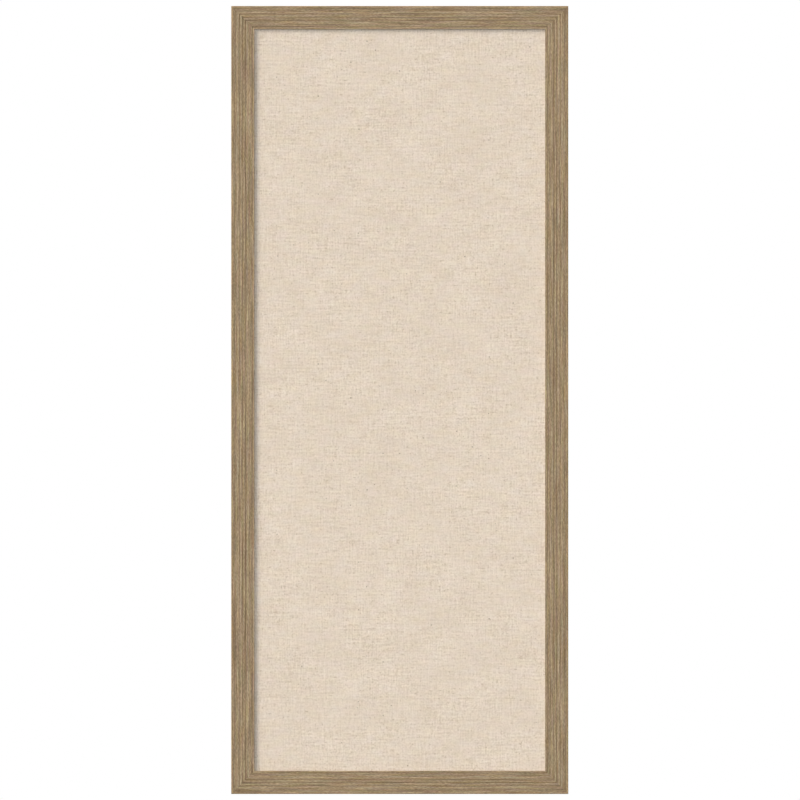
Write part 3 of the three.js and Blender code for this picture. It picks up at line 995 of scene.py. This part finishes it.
def eased_levels(thickness, ease, steps=3):
    """Levels of a plate whose upper and lower edges are rounded by the length ease."""
    angle = np.linspace(0, math.pi / 2, steps + 1)
    inset, height = ease * (1 - np.sin(angle)), ease * (1 - np.cos(angle))
    lower = np.column_stack([inset, height])
    upper = np.column_stack([inset, thickness - height])[::-1]
    return np.concatenate([lower, upper])


def set_out(local, origin, first, second):
    """Local points in space: the first two measures along first and second, the third backwards."""
    return origin + local[..., :1] * first + local[..., 1:2] * second + local[..., 2:] * BACKWARDS


# %% The backing board
BOARD_CORNER = 1.2 * MM
BOARD_EASE = 0.3 * MM

UP, RIGHT = np.array([0.0, 0.0, 1.0]), np.array([1.0, 0.0, 0.0])
low, high, origin = box_of("backing_board")
origin[1] = low[1]
to_corner = (high - low)[[2, 0]] / 2 - BOARD_CORNER
ways = ((1, 1), (-1, 1), (-1, -1), (1, -1))
outline = np.concatenate(
    [
        bend(to_corner * way, BOARD_CORNER, 90 * number, 90 * number + 90, 6)
        for number, way in enumerate(ways)
    ]
)
rings = plate_rings(outline, eased_levels(high[1] - low[1], BOARD_EASE))
backing = skin("hardboard_back", set_out(rings, origin, UP, RIGHT))
fit(backing, "backing_board", "hardboard")


# %% [markdown]
# ## Steel in the wood
#
# A V-nail is a strip bent to a right angle with slightly flared legs. It is pressed across the
# mitre from behind and ties two sides together. The retaining points are thin diamond-nosed tabs
# that are driven into the rabbet's wall, and whose rounded tails hold the pack. They lift a little,
# because a thumb bends them up to take the pack out. These, the hangers and the screws all take
# their metal from the handled metal group.

# %% Plated and plain metal
def metal_finish(slot, name, colour, tarnish, dullness, depth, lines):
    """A metal whose tone, dullness and fine lines come from the handled metal group.

    depth is the relief, and lines are the length and the width of its lines, which run up the
    board. All three are in millimetres.
    """
    tree = new_finish(slot, name, roughness=dullness, metallic=1.0)
    metal = use(
        tree,
        handled_metal,
        Place=turned(tree, object_place(tree), 90, "Y"),
        Colour=colour,
        Tarnish=tarnish,
        Dullness=dullness,
        Line_length=lines[0] * MM,
        Line_width=lines[1] * MM,
    )
    set_surface(tree, *metal, depth * MM)


BRIGHT_STEEL, DULL_STEEL = (0.44, 0.45, 0.46), (0.2, 0.19, 0.18)
NICKEL, DULL_NICKEL = (0.6, 0.565, 0.495), (0.33, 0.29, 0.23)
ZINC, DULL_ZINC = (0.56, 0.45, 0.215), (0.33, 0.23, 0.12)
metal_finish("fastener_steel", "bright_steel", BRIGHT_STEEL, DULL_STEEL, 0.38, 0.01, (2, 0.15))
metal_finish("hanger_nickel", "satin_nickel", NICKEL, DULL_NICKEL, 0.3, 0.006, (7, 0.1))
metal_finish("screw_zinc", "yellow_zinc", ZINC, DULL_ZINC, 0.31, 0.006, (0.3, 0.3))

# %% V-nails
NAIL_THICKNESS = 0.6 * MM
NAIL_BEND = 0.7 * MM
NAIL_FLARE = 0.35 * MM
FLARE_START = 0.7
NAIL_FLUSH = 0.03 * MM
NAIL_EASE = 0.08 * MM


def v_nail_outline(leg):
    """The strip's middle line set off to both sides: leg, bend, leg, with each leg's end flared."""
    half = NAIL_THICKNESS / 2
    turn = half + NAIL_BEND
    middle = np.concatenate(
        [
            stretch((leg, half), (turn, half), 9),
            bend((turn, turn), NAIL_BEND, 270, 180, 6),
            stretch((half, turn), (half, leg), 9),
            np.array([(half, leg)]),
        ]
    )
    reach = np.max(middle, axis=1)
    curl = np.clip((reach - FLARE_START * leg) / ((1 - FLARE_START) * leg), 0, 1) ** 2
    middle[:, 1] += NAIL_FLARE * curl * (middle[:, 0] > middle[:, 1])
    middle[:, 0] += NAIL_FLARE * curl * (middle[:, 1] > middle[:, 0])
    off = half * beside(np.gradient(middle, axis=0))
    return np.concatenate([middle + off, (middle - off)[::-1]])


CORNERS = ("bottom_right", "top_right", "top_left", "bottom_left")
for quarter, corner in enumerate(CORNERS):
    step, inside = directions(quarter)
    for number in (1, 2):
        node = f"v_nail_{corner}_{number}"
        low, high, _ = box_of(node)
        leg, height, _ = high - low
        apex = np.where(step - inside > 0, high, low)
        apex[1] = frame_back + NAIL_FLUSH - height
        rings = plate_rings(v_nail_outline(leg), eased_levels(height, NAIL_EASE, 2))
        fit(skin(node + "_strip", set_out(rings, apex, -step, inside)), node, "fastener_steel")

# %% Retaining points
POINTS_ON_A_SIDE = (2, 5)
POINT_DRIVEN = 7 * MM
POINT_NOSE = 2.5 * MM
POINT_TAIL_RADIUS = 1 * MM
POINT_EASE = 0.06 * MM
POINT_LIFT = 0.7 * MM
LIFT_SPREAD = 0.4
LIFT_CHANGE = 2.4


def point_outline(length, width):
    """A tab with a pointed nose in the wood and a round-cornered tail over the backing board."""
    half, r = width / 2, POINT_TAIL_RADIUS
    tail = length - POINT_DRIVEN
    shoulder = POINT_NOSE - POINT_DRIVEN
    return np.concatenate(
        [
            stretch((-POINT_DRIVEN, 0), (shoulder, -half), 3),
            stretch((shoulder, -half), (tail - r, -half), 14),
            bend((tail - r, r - half), r, 270, 360, 5),
            stretch((tail, r - half), (tail, half - r), 4),
            bend((tail - r, half - r), r, 0, 90, 5),
            stretch((tail - r, half), (shoulder, half), 14),
            stretch((shoulder, half), (-POINT_DRIVEN, 0), 3),
        ]
    )


def retaining_point(node, quarter, number):
    """The tab at its node's place. Past the wood its tail rises as the square of the way out.

    How far its end rises differs from tab to tab.
    """
    step, inside = directions(quarter)
    low, high, middle = box_of(node)
    size = high - low
    length, width = abs(inside @ size), abs(step @ size)
    on_wall = np.where(inside > 0, low, high) + inside * POINT_DRIVEN
    origin = np.where(inside != 0, on_wall, middle)
    origin[1] = low[1]
    rings = plate_rings(point_outline(length, width), eased_levels(size[1], POINT_EASE, 2))
    out = np.clip(rings[..., 0] / (length - POINT_DRIVEN), 0, 1)
    rise_share = 1 - LIFT_SPREAD + LIFT_SPREAD * math.sin(LIFT_CHANGE * number + quarter)
    rings[..., 2] += POINT_LIFT * rise_share * out**2
    return skin(node + "_tab", set_out(rings, origin, inside, step))


for quarter, side in enumerate(SIDES):
    for number in range(1, POINTS_ON_A_SIDE[quarter % 2] + 1):
        node = f"retaining_point_{side}_{number}"
        fit(retaining_point(node, quarter, number), node, "fastener_steel")

# %% [markdown]
# ## The hangers
#
# A hanger strap is one strip of nickel-plated steel, folded round the straight bar of a D-ring so
# that its two leaves lie on each other, with screw holes punched through both. The strip is a grid
# of its own length and width that is then laid along the folded path. A round hole in a square grid
# comes from a change of place: a small block of cells is taken out, its edge is drawn onto the
# circle, and the points around it follow less and less outwards. The round end is the same move the
# other way.

# %% The strap's strip
STRAP_THICKNESS = 0.7 * MM
LEAF_GAP = 0.1 * MM
KNUCKLE_BORE = 1.2 * MM
NECK = 4.5 * MM
UPPER_SCREW = 8 * MM
LOWER_SCREW = 23 * MM
UPPER_REACH = 3 * MM
HOLE_RADIUS = 2.05 * MM
HOLE_BLOCK = 1 / 3
TOLERANCE = 1e-6
LEAF_COLUMNS = 25
STRAP_EASE = 0.09 * MM
EASED_ANGLE = math.radians(60)

low, high, _ = box_of("hanger_strap_left")
strap_half = (high[0] - low[0]) / 2
print("the strap is", round(2 * strap_half / MM, 2), "mm wide")


# %% A screw hole in the grid
def punch(across, below, middle, reach, rounded):
    """Draws the grid round a screw hole. It changes across and below, a leaf's coordinates.

    With p and q the place in the zone as shares of its half sizes, m = max(|p|, |q|) grows from 0
    in the middle to 1 at the edge. A point moves to a blend of its ray's place on the hole's circle
    and on the zone's edge, which is a half circle below the hole where the end is rounded.
    Returns m, which is over 1 outside the zone.
    """
    p, q = across / strap_half, (below - middle) / reach
    m = np.maximum(abs(p), abs(q))
    safe = np.maximum(m, TOLERANCE)
    edge = np.stack([p / safe * strap_half, q / safe * reach], axis=-1)
    ray = edge / np.linalg.norm(edge, axis=-1, keepdims=True)
    if rounded:
        edge = np.where((q > 0)[..., None], ray * strap_half, edge)
    share = ((m - HOLE_BLOCK) / (1 - HOLE_BLOCK))[..., None]
    moved = HOLE_RADIUS * ray * (1 - share) + edge * share
    inside = (m <= 1 + TOLERANCE) & (m > HOLE_BLOCK - TOLERANCE)
    across[inside] = moved[inside][:, 0]
    below[inside] = moved[inside][:, 1] + middle
    return m


def leaf_grid():
    """One leaf, from its round end up to the neck: across, below the bar, and where a hole is."""
    zone_ends = (
        LOWER_SCREW + strap_half,
        LOWER_SCREW - strap_half,
        UPPER_SCREW + UPPER_REACH,
        UPPER_SCREW - UPPER_REACH,
        NECK,
    )
    zones = zip(zone_ends, zone_ends[1:], (LEAF_COLUMNS, 9, 13, 2))
    rows = [np.linspace(start, end, count)[1:] for start, end, count in zones]
    rows = np.concatenate([zone_ends[:1], *rows])
    across, below = np.meshgrid(np.linspace(-1, 1, LEAF_COLUMNS) * strap_half, rows)
    in_lower = punch(across, below, LOWER_SCREW, strap_half, rounded=True)
    in_upper = punch(across, below, UPPER_SCREW, UPPER_REACH, rounded=False)
    return across, below, np.minimum(in_lower, in_upper) < HOLE_BLOCK + TOLERANCE


# %% Folding the strip
def strap_piece(side):
    """The strip laid along its path: up the inner leaf, over the bar, down the swell and the leaf.

    The swell is a cubic curve between two corner points.
    """
    low, high, middle = box_of(f"hanger_strap_{side}")
    inner = STRAP_THICKNESS / 2
    outer = inner + STRAP_THICKNESS + LEAF_GAP
    loop = KNUCKLE_BORE + STRAP_THICKNESS / 2
    bar = KNUCKLE_BORE + STRAP_THICKNESS
    start = stretch((inner, -NECK), (inner, 0), 8)[1:]
    over = bend((bar, 0), loop, 180, 0, 22)
    t = np.linspace(0, 1, 13)[:-1]
    shares = np.stack([(1 - t) ** 3, 3 * (1 - t) ** 2 * t, 3 * (1 - t) * t**2, t**3], axis=-1)
    swell = shares @ [(bar + loop, 0), (bar + loop, -NECK / 2), (outer, -NECK / 2), (outer, -NECK)]
    bridge = np.concatenate([start, over, swell])[:, None]

    across, below, holed = leaf_grid()
    flat = 0 * bridge[..., 0] + np.linspace(-1, 1, LEAF_COLUMNS) * strap_half
    x = np.concatenate([across, flat, across[::-1]])
    y = np.concatenate([inner + 0 * across, bridge[..., 0] + 0 * flat, outer + 0 * across])
    z = np.concatenate([-below, bridge[..., 1] + 0 * flat, -below[::-1]])
    holes = np.concatenate([holed, flat > 1, holed[::-1]]).ravel()
    points = np.stack([x, y, z], axis=-1) + (middle[0], low[1], high[2] - bar)
    quads = grid_quads(*x.shape, False)
    quads = quads[~holes[quads].all(axis=1)]
    used, renumbered = np.unique(quads, return_inverse=True)
    points = points.reshape(-1, 3)[used]
    piece = mesh_object(f"hanger_strap_{side}_strip", points, renumbered.reshape(-1, 4))
    solid = piece.modifiers.new("thickness", "SOLIDIFY")
    solid.thickness = STRAP_THICKNESS
    solid.offset = 0
    eased = piece.modifiers.new("eased edges", "BEVEL")
    eased.width = STRAP_EASE
    eased.segments = 2
    eased.angle_limit = EASED_ANGLE
    return piece


for side in ("left", "right"):
    fit(strap_piece(side), f"hanger_strap_{side}", "hanger_nickel")

# %% [markdown]
# ## The D-rings
#
# A D-ring is a length of wire bent round a flat D, with its two ends butted in the middle of the
# bar where the strap hides them. The wire is a circle carried along that line: at each point of the
# line the circle lies across it, spanned by the line's own normal and the depth axis.

# %% Bent wire
WIRE_RADIUS = 1 * MM
WIRE_SIDES = 20
WIRE_JOINT = 0.2 * MM
RING_CORNER = 2 * MM
CUT_END = 0.86

joint_places = {joint["name"]: np.array(joint["pos_m"]) for joint in frame["joints"]}


def ring_line(half_width, reach):
    """The wire's middle line (across, up): half the bar, a corner, a leg, the bow, and back."""
    r = RING_CORNER
    leg_top = reach - half_width
    parts = [
        stretch((WIRE_JOINT / 2, 0), (half_width - r, 0), 14),
        bend((half_width - r, r), r, 270, 360, 12),
        stretch((half_width, r), (half_width, leg_top), 8),
        bend((0, leg_top), half_width, 0, 180, 64),
        stretch((-half_width, leg_top), (-half_width, r), 8),
        bend((r - half_width, r), r, 180, 270, 12),
        stretch((r - half_width, 0), (-WIRE_JOINT / 2, 0), 14),
        np.array([(-WIRE_JOINT / 2, 0)]),
    ]
    return np.concatenate(parts)


def ring_piece(side):
    """A circle of wire across each point of the line, drawn in a little at its cut ends."""
    low, high, _ = box_of(f"hanger_ring_{side}")
    bar = joint_places[f"ring_{side}_swing"]
    half_width = (high[0] - low[0]) / 2 - WIRE_RADIUS
    line = ring_line(half_width, high[2] - WIRE_RADIUS - bar[2])
    angle = np.arange(WIRE_SIDES)[:, None] * 2 * math.pi / WIRE_SIDES
    radius = np.full((len(line), 1, 1), WIRE_RADIUS)
    radius[[0, -1]] *= CUT_END
    normals = -beside(np.gradient(line, axis=0))
    centre, aside = (np.insert(flat, 1, 0, axis=1)[:, None] for flat in (line, normals))
    circle = np.cos(angle) * aside + np.sin(angle) * BACKWARDS
    return skin(f"hanger_ring_{side}_wire", bar + centre + radius * circle)


for side in ("left", "right"):
    fit(ring_piece(side), f"hanger_ring_{side}", "hanger_nickel", f"ring_{side}")

# %% [markdown]
# ## Screws and bumpers
#
# A screw is a profile turned round its axis, with two changes. The thread is a ridge whose height
# depends on the angle as well as on the depth: it follows a line that climbs one pitch per turn.
# The cross recess sinks the head where either of two arms passes. A bumper is a plain turned
# profile of soft rubber, with a shallow dish in the face that meets the wall.

# %% Turned pieces
def turned_rings(radius, height, sides, turned_back=0.0):
    """Rings of a turned profile; radius and height are (rows, 1) or (rows, sides).

    turned_back is taken off the even angles, to crowd the points where a shape needs them.
    """
    angle = np.arange(sides) * 2 * math.pi / sides - turned_back
    radius = radius + 0 * angle
    return np.stack([radius * np.cos(angle), radius * np.sin(angle), height + 0 * radius], axis=-1)


# %% Screws
SCREW_SIDES = 96
SHANK_RADIUS = 1.75 * MM
ROOT_RADIUS = 1.25 * MM
THREAD_PITCH = 1.3 * MM
THREAD_ROWS = 90
THREAD_END = 0.35 * MM
RIDGE = 0.24
TIP_POWER = 0.8
SCREW_TIP = 3.2 * MM
TIP_BLUNTNESS = 0.08 * MM
HEAD_RADIUS = 3.2 * MM
HEAD_RIM = 0.7 * MM
HEAD_HEIGHT = 1.9 * MM
HEAD_EASE = 0.15 * MM
ARM_WIDTH = 0.9 * MM
ARM_LENGTH = 3.6 * MM
ARM_DEPTH = 1.1 * MM
ARM_SIDE_SLOPE = 0.2 * MM
ARM_END_SLOPE = 0.45 * MM
ARM_CROWDING = 0.17
SCREW_TURNS = {"upper": 0.5, "lower": 1.15, "left": 0.8, "right": 0}


def screw_arm(p, q):
    """How deep one arm of the recess is, 0 to 1: it has sloping ends and steep sides."""
    end = np.clip((ARM_LENGTH / 2 - abs(p)) / ARM_END_SLOPE, 0, 1)
    side = np.clip((ARM_WIDTH / 2 - abs(q)) / ARM_SIDE_SLOPE + 0.5, 0, 1)
    return end * side


# %% From the tip to the head
def screw_piece(side, level):
    """Tip, threaded shank and recessed pan head, from the tip to the middle of the head.

    A screw stops turning where it is tight, so each stands at an angle of its own, in radians.
    """
    low, high, origin = box_of(f"hanger_screw_{side}_{level}")
    origin[1] = seat = high[1] - HEAD_HEIGHT
    length = seat - low[1]
    angle = np.arange(SCREW_SIDES) * 2 * math.pi / SCREW_SIDES

    depth = np.linspace(-length, -THREAD_END, THREAD_ROWS)[:, None]
    phase = (depth / THREAD_PITCH - angle / (2 * math.pi)) % 1
    ridge = np.clip(1 - abs(phase - 0.5) / RIDGE, 0, 1)
    taper = np.clip((depth + length + TIP_BLUNTNESS) / SCREW_TIP, 0, 1)
    shank = ROOT_RADIUS * taper**TIP_POWER + (SHANK_RADIUS - ROOT_RADIUS) * ridge * taper
    shank_rings = turned_rings(shank, depth, SCREW_SIDES)

    under = np.array([(SHANK_RADIUS, 0), (HEAD_RADIUS - HEAD_EASE, 0), (HEAD_RADIUS, HEAD_EASE)])
    sweep = np.linspace(0, math.pi / 2, 48)[:-1]
    dome = np.column_stack(
        [HEAD_RADIUS * np.cos(sweep), HEAD_RIM + (HEAD_HEIGHT - HEAD_RIM) * np.sin(sweep)]
    )
    head = np.concatenate([under, dome])
    near_arms = ARM_CROWDING * np.clip(head[:, 1:] / HEAD_RIM, 0, 1) * np.sin(4 * angle)
    head_rings = turned_rings(head[:, :1], head[:, 1:], SCREW_SIDES, near_arms)
    a, b = head_rings[..., 0], head_rings[..., 1]
    sunk = ARM_DEPTH * np.maximum(screw_arm(a, b), screw_arm(b, a))
    head_rings[len(under) :, :, 2] -= sunk[len(under) :]
    rings = np.concatenate([shank_rings, head_rings])

    turn = SCREW_TURNS[level] + SCREW_TURNS[side]
    first = math.cos(turn) * UP + math.sin(turn) * RIGHT
    second = math.cos(turn) * RIGHT - math.sin(turn) * UP
    return skin(f"hanger_screw_{side}_{level}_turned", set_out(rings, origin, first, second))


for side in ("left", "right"):
    for level in ("upper", "lower"):
        fit(screw_piece(side, level), f"hanger_screw_{side}_{level}", "screw_zinc")

# %% Bumpers
tree = new_finish("bumper_rubber", "bumper_rubber", roughness=0.75, specular=0.4)
place = object_place(tree)
bloom = noise(tree, place, 2, 2, 4.0)
dust = noise(tree, place, 0.25, 0.25)
rubber_colour = ramp(
    tree,
    weighted(tree, (bloom, 0.9), (dust, 0.35), -0.12),
    (0.35, (0.014, 0.0135, 0.013)),
    (0.62, (0.03, 0.029, 0.028)),
    (0.85, (0.085, 0.08, 0.074)),
)
set_surface(tree, rubber_colour, weighted(tree, (bloom, 0.3), 0.6), dust, depth=0.03 * MM)

BUMPER_SIDES = 72
BUMPER_FOOT = 0.2 * MM
BUMPER_EDGE = 1.2 * MM
BUMPER_DISH = 0.12 * MM
DISH_SHARE, DISH_MIDDLE = 0.85, 0.05


def bumper_piece(side):
    """A turned pad: a small radius at its stuck face, a soft outer edge, and a dished face."""
    low, high, origin = box_of(f"bumper_{side}")
    radius, thickness = (high[0] - low[0]) / 2, high[1] - low[1]
    origin[1] = low[1]
    flat = radius - BUMPER_EDGE
    foot = bend((radius - BUMPER_FOOT, BUMPER_FOOT), BUMPER_FOOT, 270, 360, 4)
    edge = bend((flat, thickness - BUMPER_EDGE), BUMPER_EDGE, 0, 90, 12)
    share = np.linspace(1, DISH_MIDDLE, 14)
    dish = np.column_stack([DISH_SHARE * flat * share, thickness - BUMPER_DISH * (1 - share**2)])
    profile = np.concatenate([foot, edge, [(flat, thickness)], dish])
    rings = turned_rings(profile[:, :1], profile[:, 1:], BUMPER_SIDES)
    return skin(f"bumper_{side}_pad", set_out(rings, origin, UP, RIGHT))


for side in ("left", "right"):
    fit(bumper_piece(side), f"bumper_{side}", "bumper_rubber")

# %% [markdown]
# ## Floor and background
#
# The background is plain white. The world shows white to the camera, to reflections and through
# glass, but lights surfaces only as a dim, even fill, so nothing on the board is washed out. The
# floor lies well below the board, out of the main picture. It glows a little for the camera alone,
# so that it is as pale as the background and still takes the shadow. Its underside is clear, so
# that the board can be looked at from below too.

# %% The world
AMBIENT = 0.15

world = bpy.data.worlds.new("white_surround")
world.use_nodes = True
bpy.context.scene.world = world
tree = world.node_tree
rays = add(tree, "LightPath")
seen = math_node(
    tree,
    "MAXIMUM",
    rays.outputs["Is Camera Ray"],
    math_node(
        tree, "MAXIMUM", rays.outputs["Is Glossy Ray"], rays.outputs["Is Transmission Ray"]
    ),
)
strength = math_node(tree, "MULTIPLY_ADD", seen, 1 - AMBIENT, AMBIENT)
background = tree.nodes["Background"]
background.inputs["Color"].default_value = (1, 1, 1, 1)
plug(tree, background.inputs["Strength"], strength)
print("the surround lights the board with", AMBIENT, "of white")

# %% The floor
FLOOR_DROP = 0.45
FLOOR_REACH = 12.0
FLOOR_GLOW = 0.7

corners = np.array([(-1, -1, 0), (1, -1, 0), (1, 1, 0), (-1, 1, 0)]) * FLOOR_REACH
corners = corners + (frame_middle[0], 0, frame_low[2] - FLOOR_DROP)
floor = mesh_object("floor", corners, np.array([[0, 1, 2, 3]]))
tree = new_finish("floor", "pale_floor", roughness=0.9, specular=0.0)
shader = tree.nodes["Principled BSDF"]
speckle = noise(tree, object_place(tree), 400, 400, 2.0)
floor_colour = ramp(tree, speckle, (0.3, (0.29, 0.29, 0.285)), (0.7, (0.31, 0.31, 0.305)))
glow = math_node(tree, "MULTIPLY", add(tree, "LightPath").outputs["Is Camera Ray"], FLOOR_GLOW)
shader.inputs["Emission Color"].default_value = (1, 1, 1, 1)
plug(tree, shader.inputs["Base Color"], floor_colour)
plug(tree, shader.inputs["Emission Strength"], glow)
from_below = add(tree, "NewGeometry").outputs["Backfacing"]
clear = add(tree, "BsdfTransparent").outputs[0]
one_sided = add(tree, "MixShader", {0: from_below, 1: shader.outputs[0], 2: clear}).outputs[0]
plug(tree, tree.nodes["Material Output"].inputs["Surface"], one_sided)
floor.data.materials.append(finishes["floor"])
